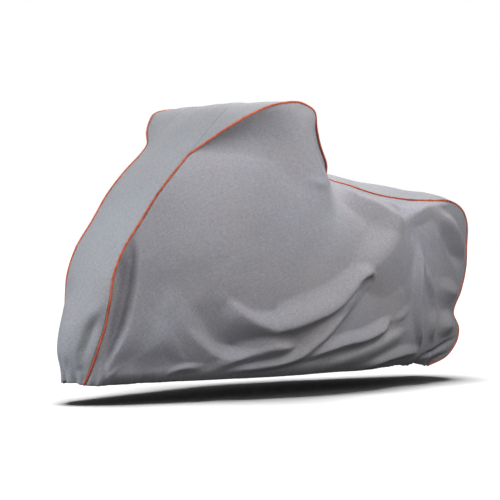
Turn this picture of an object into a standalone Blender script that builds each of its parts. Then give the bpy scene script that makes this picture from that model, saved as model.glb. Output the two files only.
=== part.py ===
"""Fitted motorcycle cover, as it hangs over a machine that is left out. Blender 4.5, metres, +Z up.

The front is at -X and the machine's left side at -Y. Every table gives heights above the floor that the
machine stands on. The finished pieces hang from one empty at the rest point, the place under the cover's
top where the machine holds it, which is the origin of the part.

Pieces: one centre strip that runs over the machine from front hem to rear hem, two wings that widen its
top over the handlebar, two side panels, and a piping in each of the two long seams.
"""

from collections import namedtuple

import bmesh
import bpy
import numpy as np

# Driving sizes
CLOTH = 0.0016
CLOTH_ROUGHNESS = 0.85
PIPING_ROUGHNESS = 0.70
SAME_PLACE = 1e-9
PIPING_RADIUS = 0.0045
SEAM_GAP = 0.0004
STRIP_STEPS_ACROSS = 6
WING_STEPS_ACROSS = 4
PIPING_ROUNDNESS = 1
REST_POINT = (-0.160, 0.0, 1.188)

STRIP_COLOUR = (0.36, 0.37, 0.39)
SIDE_COLOUR = (0.29, 0.285, 0.29)
PIPING_COLOUR = (0.75, 0.14, 0.05)

# Mesh steps between the named places of the long seam. The side panel's corners are at the two hems, at
# "crest front" and at "tail top", so its front edge and its rear edge take the same number of steps.
Span = namedtuple("Span", "start end steps")
SPANS = (
    Span("front hem", "front notch", 20),
    Span("front notch", "crest front", 7),
    Span("crest front", "rear notch", 19),
    Span("rear notch", "tail top", 25),
    Span("tail top", "rear hem", 27),
)
FRONT_STEPS = SPANS[0].steps + SPANS[1].steps
TOP_STEPS = SPANS[2].steps + SPANS[3].steps

# The centre strip's edge in side view, its half width, how far its middle stands out of its edges, and how
# far the middle drifts rearward besides, round the back of the wheel.
Section = namedtuple("Section", "name x z half crown drift")
STRIP = (
    Section("front hem", -0.941, 0.078, 0.067, 0.034, 0.0),
    Section("under wheel", -0.927, 0.124, 0.086, 0.063, 0.0),
    Section("wheel front", -0.915, 0.175, 0.102, 0.092, 0.0),
    Section("wheel", -0.903, 0.234, 0.120, 0.100, 0.0),
    Section("wheel top", -0.888, 0.294, 0.133, 0.098, 0.0),
    Section("mudguard", -0.881, 0.354, 0.144, 0.080, 0.0),
    Section("fork foot", -0.873, 0.414, 0.152, 0.058, 0.0),
    Section("fork", -0.863, 0.495, 0.155, 0.030, 0.0),
    Section("fork top", -0.818, 0.600, 0.160, 0.015, 0.0),
    Section("lamp foot", -0.740, 0.705, 0.162, 0.012, 0.0),
    Section("lamp", -0.662, 0.812, 0.168, 0.012, 0.0),
    Section("lamp top", -0.575, 0.905, 0.170, 0.012, 0.0),
    Section("front notch", -0.510, 0.965, 0.165, 0.012, 0.0),
    Section("screen foot", -0.445, 1.026, 0.160, 0.012, 0.0),
    Section("screen", -0.378, 1.090, 0.157, 0.012, 0.0),
    Section("screen top", -0.318, 1.142, 0.154, 0.010, 0.0),
    Section("crest front", -0.262, 1.169, 0.152, 0.008, 0.0),
    Section("crest", -0.190, 1.182, 0.152, 0.006, 0.0),
    Section("crest middle", -0.120, 1.184, 0.152, 0.006, 0.0),
    Section("crest rear", -0.040, 1.176, 0.152, 0.008, 0.0),
    Section("bar rear", 0.015, 1.140, 0.154, 0.010, 0.0),
    Section("bar foot", 0.062, 1.072, 0.156, 0.012, 0.0),
    Section("tank rise", 0.110, 1.010, 0.158, 0.016, 0.0),
    Section("tank", 0.168, 0.944, 0.160, 0.022, 0.0),
    Section("rear notch", 0.235, 0.882, 0.160, 0.035, 0.0),
    Section("seat front", 0.340, 0.858, 0.162, 0.050, 0.0),
    Section("seat low", 0.500, 0.820, 0.168, 0.058, 0.0),
    Section("seat", 0.680, 0.798, 0.170, 0.060, 0.0),
    Section("seat rear", 0.850, 0.795, 0.166, 0.046, 0.0),
    Section("tail edge", 0.960, 0.792, 0.158, 0.032, 0.0),
    Section("tail top", 1.045, 0.755, 0.150, 0.026, 0.0),
    Section("tail bend", 1.080, 0.695, 0.146, 0.026, 0.0),
    Section("tail", 1.080, 0.600, 0.145, 0.028, 0.0),
    Section("tail middle", 1.074, 0.500, 0.145, 0.030, 0.0),
    Section("tail low", 1.045, 0.400, 0.145, 0.034, 0.0),
    Section("tail tuck", 0.997, 0.300, 0.143, 0.040, 0.0),
    Section("tail bulge", 1.034, 0.228, 0.140, 0.040, 0.0),
    Section("tail turn", 1.024, 0.165, 0.134, 0.030, 0.0),
    Section("tail under", 0.970, 0.105, 0.124, 0.004, 0.020),
    Section("rear hem", 0.870, 0.067, 0.110, -0.012, 0.050),
)

# The piped edge of a wing, between the notches where the wing's ends come to a point on the strip, and how
# much further back the right wing's edge has been pulled than the left one's.
Wing = namedtuple("Wing", "name x z half set_back")
WING = (
    Wing("screen foot", -0.455, 1.018, 0.215, 0.028),
    Wing("screen", -0.405, 1.075, 0.290, 0.033),
    Wing("screen top", -0.345, 1.124, 0.352, 0.034),
    Wing("crest front", -0.272, 1.158, 0.383, 0.010),
    Wing("crest", -0.200, 1.174, 0.391, 0.000),
    Wing("crest middle", -0.130, 1.179, 0.383, 0.000),
    Wing("crest rear", -0.062, 1.168, 0.365, 0.000),
    Wing("bar rear", 0.003, 1.143, 0.336, 0.000),
    Wing("bar foot", 0.056, 1.080, 0.286, 0.000),
    Wing("tank rise", 0.108, 1.014, 0.236, 0.000),
    Wing("tank", 0.170, 0.946, 0.190, 0.000),
)

# The hem of a side panel from its front corner to its rear corner.
Hem = namedtuple("Hem", "x half z")
HEM = (
    Hem(-0.941, 0.067, 0.078),
    Hem(-0.870, 0.118, 0.074),
    Hem(-0.700, 0.165, 0.078),
    Hem(-0.450, 0.215, 0.078),
    Hem(-0.150, 0.250, 0.077),
    Hem(0.150, 0.258, 0.077),
    Hem(0.400, 0.235, 0.077),
    Hem(0.600, 0.195, 0.079),
    Hem(0.760, 0.150, 0.078),
    Hem(0.870, 0.110, 0.067),
)

# Half width of the draped side, one row for each height, one column for each place along the machine.
BODY_X = (-0.95, -0.80, -0.60, -0.40, -0.20, 0.00, 0.20, 0.40, 0.60, 0.80, 1.00)
BODY = (
    (0.05, (0.100, 0.145, 0.185, 0.220, 0.245, 0.256, 0.256, 0.235, 0.195, 0.140, 0.100)),
    (0.25, (0.115, 0.150, 0.205, 0.252, 0.288, 0.305, 0.305, 0.285, 0.250, 0.210, 0.150)),
    (0.40, (0.120, 0.145, 0.210, 0.272, 0.315, 0.335, 0.332, 0.310, 0.278, 0.235, 0.165)),
    (0.55, (0.120, 0.135, 0.208, 0.285, 0.332, 0.352, 0.345, 0.315, 0.280, 0.240, 0.170)),
    (0.70, (0.120, 0.135, 0.200, 0.288, 0.345, 0.362, 0.340, 0.295, 0.262, 0.232, 0.165)),
    (0.85, (0.120, 0.140, 0.190, 0.285, 0.355, 0.368, 0.290, 0.200, 0.185, 0.175, 0.150)),
    (1.00, (0.120, 0.150, 0.180, 0.280, 0.372, 0.372, 0.225, 0.165, 0.165, 0.160, 0.150)),
    (1.20, (0.120, 0.150, 0.180, 0.270, 0.385, 0.370, 0.210, 0.160, 0.160, 0.160, 0.150)),
)
EDGE_HOLD = 5.0
WING_TIP = 0.3
WING_GAP = 0.00035
WING_CROWN = 0.004
WING_CROWN_WIDTH = 0.200


# A fold is a soft ridge, or a trough where its height is negative, along a line given as (x, z) on the side
# of the cover. It spreads over one width above the line and another below it; on a line that runs downward
# the first is the width behind it and the second the width ahead of it.
class Fold:
    def __init__(self, name, height, over, under, *line):
        self.name = name
        self.height = height
        self.over = over
        self.under = under
        self.line = line


LEFT_FOLDS = (
    Fold(
        "fork groove", -0.010, 0.055, 0.035,
        (-0.79, 0.61), (-0.835, 0.48), (-0.85, 0.36), (-0.87, 0.28),
    ),
    Fold(
        "fork ridge", 0.022, 0.085, 0.045,
        (-0.72, 0.66), (-0.76, 0.52), (-0.79, 0.36), (-0.82, 0.24), (-0.89, 0.11),
    ),
    Fold(
        "knee ridge", 0.026, 0.100, 0.060,
        (-0.66, 0.44), (-0.59, 0.335), (-0.545, 0.275), (-0.49, 0.215), (-0.36, 0.16),
    ),
    Fold(
        "knee arm", 0.018, 0.075, 0.055,
        (-0.74, 0.215), (-0.67, 0.245), (-0.585, 0.28),
    ),
    Fold(
        "belly lip", 0.038, 0.140, 0.065,
        (-0.42, 0.395), (-0.34, 0.35), (-0.24, 0.29), (-0.18, 0.275),
        (-0.10, 0.29), (0.04, 0.34), (0.155, 0.41), (0.26, 0.49),
    ),
    Fold(
        "long ridge", 0.030, 0.110, 0.060,
        (0.14, 0.45), (0.23, 0.505), (0.37, 0.59), (0.48, 0.645), (0.575, 0.70),
    ),
    Fold(
        "low band", 0.024, 0.050, 0.045,
        (-0.38, 0.11), (-0.10, 0.145), (0.04, 0.215), (0.11, 0.27), (0.18, 0.345), (0.29, 0.445),
    ),
    Fold(
        "low lip", 0.019, 0.055, 0.045,
        (-0.44, 0.12), (-0.25, 0.185), (-0.095, 0.21), (-0.035, 0.19),
    ),
    Fold(
        "tongue lip", 0.018, 0.050, 0.045,
        (-0.035, 0.13), (0.215, 0.19), (0.395, 0.25), (0.495, 0.29),
    ),
    Fold(
        "low swell", 0.018, 0.050, 0.055,
        (0.19, 0.10), (0.375, 0.165), (0.535, 0.225), (0.61, 0.24),
    ),
    Fold(
        "seat crest", 0.028, 0.070, 0.055,
        (0.215, 0.87), (0.385, 0.78), (0.485, 0.74), (0.575, 0.705),
    ),
    Fold(
        "corner arc", 0.018, 0.050, 0.045,
        (0.565, 0.70), (0.66, 0.73), (0.77, 0.755), (0.96, 0.78),
    ),
    Fold(
        "tail ridge", 0.016, 0.050, 0.045,
        (0.735, 0.73), (0.81, 0.72), (0.91, 0.665), (0.985, 0.60), (1.04, 0.53),
    ),
    Fold(
        "tail valley", -0.012, 0.040, 0.045,
        (0.815, 0.69), (0.87, 0.63), (0.955, 0.555), (1.03, 0.50),
    ),
    Fold(
        "shock ridge", 0.019, 0.050, 0.045,
        (0.68, 0.64), (0.665, 0.52), (0.66, 0.37), (0.675, 0.255), (0.73, 0.14),
    ),
    Fold(
        "rack ridge", 0.015, 0.045, 0.045,
        (0.70, 0.51), (0.74, 0.445), (0.785, 0.375), (0.79, 0.295), (0.85, 0.16),
    ),
    Fold(
        "bar bulge", 0.025, 0.060, 0.100,
        (-0.08, 1.15), (-0.06, 1.08), (-0.065, 1.00), (-0.05, 0.945), (0.04, 0.88),
    ),
)
RIGHT_FOLDS = (
    Fold(
        "fork ridge", 0.022, 0.075, 0.050,
        (-0.74, 0.66), (-0.77, 0.50), (-0.80, 0.33), (-0.86, 0.13),
    ),
    Fold(
        "knee ridge", 0.022, 0.090, 0.055,
        (-0.68, 0.54), (-0.61, 0.42), (-0.53, 0.31), (-0.44, 0.24), (-0.34, 0.19),
    ),
    Fold(
        "knee arm", 0.014, 0.065, 0.050,
        (-0.73, 0.12), (-0.66, 0.22), (-0.58, 0.32),
    ),
    Fold(
        "belly lip", 0.034, 0.130, 0.065,
        (-0.48, 0.45), (-0.36, 0.38), (-0.22, 0.325), (-0.10, 0.30),
        (0.00, 0.34), (0.13, 0.42), (0.25, 0.51),
    ),
    Fold(
        "long ridge", 0.028, 0.110, 0.065,
        (0.13, 0.45), (0.27, 0.555), (0.40, 0.61), (0.50, 0.66),
    ),
    Fold(
        "low band", 0.022, 0.050, 0.050,
        (-0.42, 0.11), (-0.20, 0.14), (0.02, 0.19), (0.18, 0.28), (0.35, 0.42),
    ),
    Fold(
        "tongue lip", 0.018, 0.050, 0.045,
        (0.08, 0.13), (0.28, 0.19), (0.46, 0.26), (0.56, 0.35),
    ),
    Fold(
        "low swell", 0.016, 0.045, 0.050,
        (0.14, 0.085), (0.34, 0.14), (0.50, 0.20), (0.61, 0.29),
    ),
    Fold(
        "seat crest", 0.026, 0.070, 0.060,
        (0.22, 0.86), (0.34, 0.79), (0.48, 0.73), (0.61, 0.685),
    ),
    Fold(
        "corner arc", 0.017, 0.050, 0.050,
        (0.52, 0.67), (0.70, 0.735), (0.93, 0.77),
    ),
    Fold(
        "shock ridge", 0.018, 0.050, 0.050,
        (0.635, 0.64), (0.668, 0.48), (0.65, 0.31), (0.71, 0.12),
    ),
    Fold(
        "rack ridge", 0.014, 0.045, 0.045,
        (0.71, 0.62), (0.79, 0.47), (0.84, 0.33), (0.79, 0.17),
    ),
    Fold(
        "tail ridge", 0.013, 0.050, 0.045,
        (0.80, 0.73), (0.90, 0.67), (1.00, 0.55),
    ),
    Fold(
        "bar bulge", 0.022, 0.060, 0.100,
        (-0.10, 1.13), (-0.09, 1.04), (-0.06, 0.94), (0.06, 0.85),
    ),
)
LINE_STEPS = 12
FOLD_SEAM_FADE = 0.045
FOLD_END = 0.25
FOLD_END_SHARE = 0.35

# The elastic gathers the hem into waves that are strongest under the two wheels.
FRONT_WHEEL_X = -0.85
REAR_WHEEL_X = 0.80
WHEEL_REACH = 0.22
GATHER_DEPTH = 0.006
GATHER_PITCH = 0.135
SECOND_PITCH = 1.7 * GATHER_PITCH
SECOND_SHARE = 0.5
SECOND_SHIFT = 1.0
GATHER_RISE = 0.070


def spline(knots, values, at):
    """Values at the given places on a smooth curve through the knots, one column for each quantity."""
    knots = np.asarray(knots, float)
    values = np.asarray(values, float)
    slope = np.empty_like(values)
    slope[1:-1] = (values[2:] - values[:-2]) / (knots[2:] - knots[:-2])[:, None]
    slope[0] = (values[1] - values[0]) / (knots[1] - knots[0])
    slope[-1] = (values[-1] - values[-2]) / (knots[-1] - knots[-2])
    at = np.asarray(at, float)
    span = np.clip(np.searchsorted(knots, at, side="right") - 1, 0, len(knots) - 2)
    width = (knots[span + 1] - knots[span])[:, None]
    t = (at - knots[span])[:, None] / width
    start = values[span] * (1 + 2 * t) * (1 - t) ** 2 + slope[span] * width * t * (1 - t) ** 2
    end = values[span + 1] * t**2 * (3 - 2 * t) - slope[span + 1] * width * t**2 * (1 - t)
    return start + end


def run_length(points):
    """Distance along a line of points, from its first point."""
    steps = np.linalg.norm(np.diff(points, axis=0), axis=1)
    return np.concatenate([[0.0], np.cumsum(steps)])


def unit(vectors):
    """Vectors of length one in the given directions."""
    return vectors / np.maximum(np.linalg.norm(vectors, axis=-1, keepdims=True), 1e-12)


def seam_stations(side):
    """Strip edge (x, z, half, crown, drift) and piped seam (x, half, z) at every mesh step of a long seam."""
    wing_rows = {row.name: row for row in WING}
    strip_rows = []
    pipe_rows = []
    for row in STRIP:
        strip_rows.append((row.x, row.z, row.half, row.crown, row.drift))
        pipe = wing_rows.get(row.name, row)
        pipe_rows.append((pipe.x, pipe.half, pipe.z))
    along = run_length(np.array(pipe_rows))
    place = {row.name: along[i] for i, row in enumerate(STRIP)}
    if side > 0:
        pipe_rows = [set_back(wing_rows.get(row.name), pipe) for row, pipe in zip(STRIP, pipe_rows)]
    steps = [np.linspace(place[s.start], place[s.end], s.steps + 1)[:-1] for s in SPANS]
    steps.append([place[SPANS[-1].end]])
    steps = np.concatenate(steps)
    edge = spline(along, strip_rows, steps)
    pipe = spline(along, pipe_rows, steps)
    on_strip = (steps <= place["front notch"]) | (steps >= place["rear notch"])
    pipe[on_strip] = edge[on_strip][:, [0, 2, 1]]
    return edge, pipe


def set_back(wing, pipe):
    """A row of the right seam, moved back where it belongs to the wing."""
    return (pipe[0] + wing.set_back, pipe[1], pipe[2]) if wing else pipe


def strip_surface():
    """Grid of points of the centre strip, a row for each station and a column for each step across."""
    edge, _ = seam_stations(-1)
    along = edge[:, :2]
    tangent = unit(np.gradient(along, axis=0))
    outward = np.stack([-tangent[:, 1], tangent[:, 0]], axis=1)
    across = np.linspace(-1.0, 1.0, STRIP_STEPS_ACROSS + 1)
    grid = np.empty((len(edge), len(across), 3))
    for column, v in enumerate(across):
        rise = (edge[:, 3] * (1 - v**2))[:, None] * outward
        grid[:, column, 0] = edge[:, 0] + rise[:, 0] + edge[:, 4] * (1 - v**2)
        grid[:, column, 1] = edge[:, 2] * v
        grid[:, column, 2] = edge[:, 1] + rise[:, 1]
    return grid


def wing_surface(side):
    """Grid of points of one wing, a row for each station, from the strip's edge out to the piped edge."""
    edge, pipe = seam_stations(side)
    first, last = SPANS[0].steps, len(edge) - 1 - SPANS[4].steps - SPANS[3].steps
    rows = np.concatenate([[first + WING_TIP], np.arange(first + 1, last), [last - WING_TIP]])
    inner = np.stack([edge[:, 0], edge[:, 2], edge[:, 1]], axis=1)
    inner = spline(np.arange(len(edge)), inner, rows)
    outer = spline(np.arange(len(edge)), pipe, rows)
    inner_edge = draw_back(inner, outer, WING_GAP)
    outer_edge = draw_back(outer, inner, PIPING_RADIUS + SEAM_GAP)
    across = np.linspace(0.0, 1.0, WING_STEPS_ACROSS + 1)[None, :, None]
    grid = inner_edge[:, None, :] * (1 - across) + outer_edge[:, None, :] * across
    bow = (4 * across * (1 - across))[:, :, 0]
    grid[:, :, 2] += WING_CROWN * bow * ((outer - inner)[:, 1:2] / WING_CROWN_WIDTH)
    grid[0] = grid[0].mean(axis=0)
    grid[-1] = grid[-1].mean(axis=0)
    grid[:, :, 1] *= side
    return grid


def draw_back(edge, towards, distance):
    """Edge points moved square to their own line, toward a second line, to leave room for a seam."""
    tangent = unit(np.gradient(edge, axis=0))
    inward = towards - edge
    inward -= tangent * (inward * tangent).sum(axis=1, keepdims=True)
    return edge + unit(inward) * np.reshape(distance, (-1, 1))


def body_half(x, z):
    """Half width of the side in its plain draped form, read from the table."""
    rows = [spline(BODY_X, np.array(row)[:, None], x.ravel())[:, 0] for _, row in BODY]
    by_height = np.stack(rows)
    heights = [level for level, _ in BODY]
    held_z = np.clip(z.ravel(), heights[0], heights[-1])
    half = np.empty(x.size)
    for i, height in enumerate(held_z):
        half[i] = spline(heights, by_height[:, i : i + 1], [height])[0, 0]
    return half.reshape(x.shape)


def side_surface(side):
    """Grid of points of one side panel, a column for each step rearward and a row for each step up."""
    _, pipe = seam_stations(side)
    front = pipe[: FRONT_STEPS + 1]
    top = pipe[FRONT_STEPS : FRONT_STEPS + TOP_STEPS + 1]
    rear = pipe[FRONT_STEPS + TOP_STEPS :][::-1]
    hem = np.array([(row.x, row.half, row.z) for row in HEM])
    length = run_length(hem)
    hem = spline(length, hem, np.linspace(0.0, length[-1], TOP_STEPS + 1))
    u = np.linspace(0.0, 1.0, TOP_STEPS + 1)[:, None]
    v = np.linspace(0.0, 1.0, FRONT_STEPS + 1)[None, :]
    plain = blend(front, rear, hem, top, 1 - u, u, 1 - v, v)
    half = body_half(plain[:, :, 0], plain[:, :, 2])
    gaps = [
        front[:, 1:2] - half[0, :, None],
        rear[:, 1:2] - half[-1, :, None],
        hem[:, 1:2] - half[:, :1],
        top[:, 1:2] - half[:, -1:],
    ]
    near_front, near_rear = (1 - u) ** EDGE_HOLD, u**EDGE_HOLD
    near_hem, near_top = (1 - v) ** EDGE_HOLD, v**EDGE_HOLD
    plain[:, :, 1] = half + blend(*gaps, near_front, near_rear, near_hem, near_top)[:, :, 0]
    return plain


def blend(front, rear, hem, top, at_front, at_rear, at_hem, at_top):
    """Patch between four boundary lines, each one's share set by its weight across the patch."""
    upright = ((front, at_front), (rear, at_rear))
    level = ((hem, at_hem), (top, at_top))
    patch = sum(line[None, :, :] * weight[:, :, None] for line, weight in upright)
    patch = patch + sum(line[:, None, :] * weight[:, :, None] for line, weight in level)
    for line, across in upright:
        patch = patch - line[0] * (across * at_hem)[:, :, None]
        patch = patch - line[-1] * (across * at_top)[:, :, None]
    return patch


def distance_to(line, x, z):
    """Distance of every place from a line, signed as above or below it, and how far along it that is."""
    line = np.array(line)
    length = run_length(line)
    fine = spline(length, line, np.linspace(0.0, length[-1], LINE_STEPS * len(line)))
    along = run_length(fine) / run_length(fine)[-1]
    tangent = unit(np.gradient(fine, axis=0))
    off = np.stack([x, z], axis=-1)[..., None, :] - fine
    near = np.argmin((off**2).sum(axis=-1), axis=-1)
    off = np.take_along_axis(off, near[..., None, None], axis=-2)[..., 0, :]
    tangent = tangent[near]
    square = tangent[..., 0] * off[..., 1] - tangent[..., 1] * off[..., 0]
    return np.sign(square) * np.linalg.norm(off, axis=-1), along[near]


def fold_height(fold, x, z):
    """How far a fold lifts the cloth at every place on the side."""
    away, along = distance_to(fold.line, x, z)
    t = np.abs(away) / np.where(away > 0, fold.over, fold.under)
    bump = np.where(t < 1, (1 - t) ** 2 * (1 + 2 * t), 0.0)
    end = np.clip(np.minimum(along, 1 - along) / FOLD_END, 0.0, 1.0)
    end = end * end * (3 - 2 * end)
    return fold.height * bump * (FOLD_END_SHARE + (1 - FOLD_END_SHARE) * end)


def gather_height(x, rise):
    """The hem's waves under the wheels, dying out upward."""
    front = np.exp(-(((x - FRONT_WHEEL_X) / WHEEL_REACH) ** 2))
    rear = np.exp(-(((x - REAR_WHEEL_X) / WHEEL_REACH) ** 2))
    wave = np.sin(2 * np.pi * x / GATHER_PITCH)
    wave = wave + SECOND_SHARE * np.sin(2 * np.pi * x / SECOND_PITCH + SECOND_SHIFT)
    return GATHER_DEPTH * wave * (front + rear) * np.exp(-rise / GATHER_RISE)


def fold_side(grid, folds):
    """The plain side panel with its folds and its gathered hem, still with its edges on the seam lines."""
    x = grid[:, :, 0]
    z = grid[:, :, 2]
    lift = sum(fold_height(fold, x, z) for fold in folds)
    lift = lift + gather_height(x, z - z[:, :1])
    seam = np.minimum(nearest(grid, grid[0]), nearest(grid, grid[-1]))
    seam = np.minimum(seam, nearest(grid, grid[:, -1]))
    lift = lift * np.clip(seam / FOLD_SEAM_FADE, 0.0, 1.0)
    return grid + outward(grid) * lift[:, :, None]


def nearest(grid, line):
    """Distance from every point of a grid to the closest point of a line."""
    return np.linalg.norm(grid[:, :, None, :] - line[None, None, :, :], axis=-1).min(axis=-1)


def outward(grid):
    """Unit direction out of a side at every grid point, while its half width still counts as +y."""
    along = np.gradient(grid, axis=0)
    up = np.gradient(grid, axis=1)
    return unit(np.cross(up, along))


def seat_in_seam(grid):
    """A side panel with its seam edges drawn back to clear the piping, and its hem left as it is."""
    seam = np.concatenate([grid[0, :-1], grid[:-1, -1], grid[-1, ::-1]])
    inner = np.concatenate([grid[1, :-1], grid[1:2, -2], grid[1:-1, -2], grid[-2:-1, -2], grid[-2, -2::-1]])
    moved = draw_back(seam, inner, PIPING_RADIUS + SEAM_GAP)
    up = grid.shape[1] - 1
    along = grid.shape[0] - 1
    out = grid.copy()
    out[0, :up] = moved[:up]
    out[:along, -1] = moved[up : up + along]
    out[-1] = moved[up + along :][::-1]
    return out


def fabric(name, colour, roughness):
    """Plain Principled material."""
    material = bpy.data.materials.new(name)
    material.use_nodes = True
    shader = material.node_tree.nodes["Principled BSDF"]
    shader.inputs["Base Color"].default_value = (*colour, 1.0)
    shader.inputs["Roughness"].default_value = roughness
    shader.inputs["Metallic"].default_value = 0.0
    return material


def sheet(name, grid, parent, colour, faces_flipped):
    """Thin cloth object on a grid of points; rows whose points coincide become one corner."""
    mesh = bpy.data.meshes.new(name)
    form = bmesh.new()
    rows = []
    for row in grid:
        if np.ptp(row, axis=0).max() < SAME_PLACE:
            rows.append([form.verts.new(row[0])] * len(row))
        else:
            rows.append([form.verts.new(point) for point in row])
    for near_row, far_row in zip(rows[:-1], rows[1:]):
        for a, b, c, d in zip(near_row[:-1], far_row[:-1], far_row[1:], near_row[1:]):
            corners = list(dict.fromkeys((a, b, c, d)))
            form.faces.new(corners[::-1] if faces_flipped else corners)
    form.to_mesh(mesh)
    form.free()
    mesh.materials.append(fabric(name + " cloth", colour, CLOTH_ROUGHNESS))
    mesh.shade_smooth()
    thing = bpy.data.objects.new(name, mesh)
    thing.parent = parent
    bpy.context.scene.collection.objects.link(thing)
    thick = thing.modifiers.new("cloth thickness", "SOLIDIFY")
    thick.thickness = CLOTH
    thick.offset = -1.0
    return thing


def piping(name, points, parent, colour):
    """Round piping along a seam, closed at both ends."""
    curve = bpy.data.curves.new(name, "CURVE")
    curve.dimensions = "3D"
    curve.bevel_depth = PIPING_RADIUS
    curve.bevel_resolution = PIPING_ROUNDNESS
    curve.use_fill_caps = True
    line = curve.splines.new("POLY")
    line.points.add(len(points) - 1)
    for spot, point in zip(line.points, points):
        spot.co = (*point, 1.0)
    curve.materials.append(fabric(name + " binding", colour, PIPING_ROUGHNESS))
    thing = bpy.data.objects.new(name, curve)
    thing.parent = parent
    bpy.context.scene.collection.objects.link(thing)
    return thing


def build_strip(parent):
    grid = strip_surface()
    wing_start = SPANS[0].steps
    wing_end = len(grid) - 1 - SPANS[4].steps - SPANS[3].steps
    station = np.arange(len(grid))
    beside_wing = (station > wing_start) & (station < wing_end)
    room = np.where(beside_wing, WING_GAP, PIPING_RADIUS + SEAM_GAP)
    left = draw_back(grid[:, 0], grid[:, 1], room)
    right = draw_back(grid[:, -1], grid[:, -2], room)
    grid[:, 0] = left
    grid[:, -1] = right
    return sheet("centre_strip", grid, parent, STRIP_COLOUR, False)


def build_side(name, side, folds, parent):
    grid = seat_in_seam(fold_side(side_surface(side), folds))
    grid[:, :, 1] *= side
    return sheet(name, grid, parent, SIDE_COLOUR, side > 0)


def build_piping(name, side, parent):
    _, pipe = seam_stations(side)
    pipe[:, 1] *= side
    return piping(name, pipe, parent, PIPING_COLOUR)


def main():
    for thing in list(bpy.data.objects):
        bpy.data.objects.remove(thing, do_unlink=True)
    machine = bpy.data.objects.new("machine_place", None)
    machine.location = [-value for value in REST_POINT]
    bpy.context.scene.collection.objects.link(machine)
    build_strip(machine)
    sheet("wing_left", wing_surface(-1), machine, STRIP_COLOUR, True)
    sheet("wing_right", wing_surface(1), machine, STRIP_COLOUR, False)
    build_side("side_left", -1, LEFT_FOLDS, machine)
    build_side("side_right", 1, RIGHT_FOLDS, machine)
    build_piping("piping_left", -1, machine)
    build_piping("piping_right", 1, machine)
    bpy.context.view_layer.update()


main()
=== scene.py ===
import math

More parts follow.
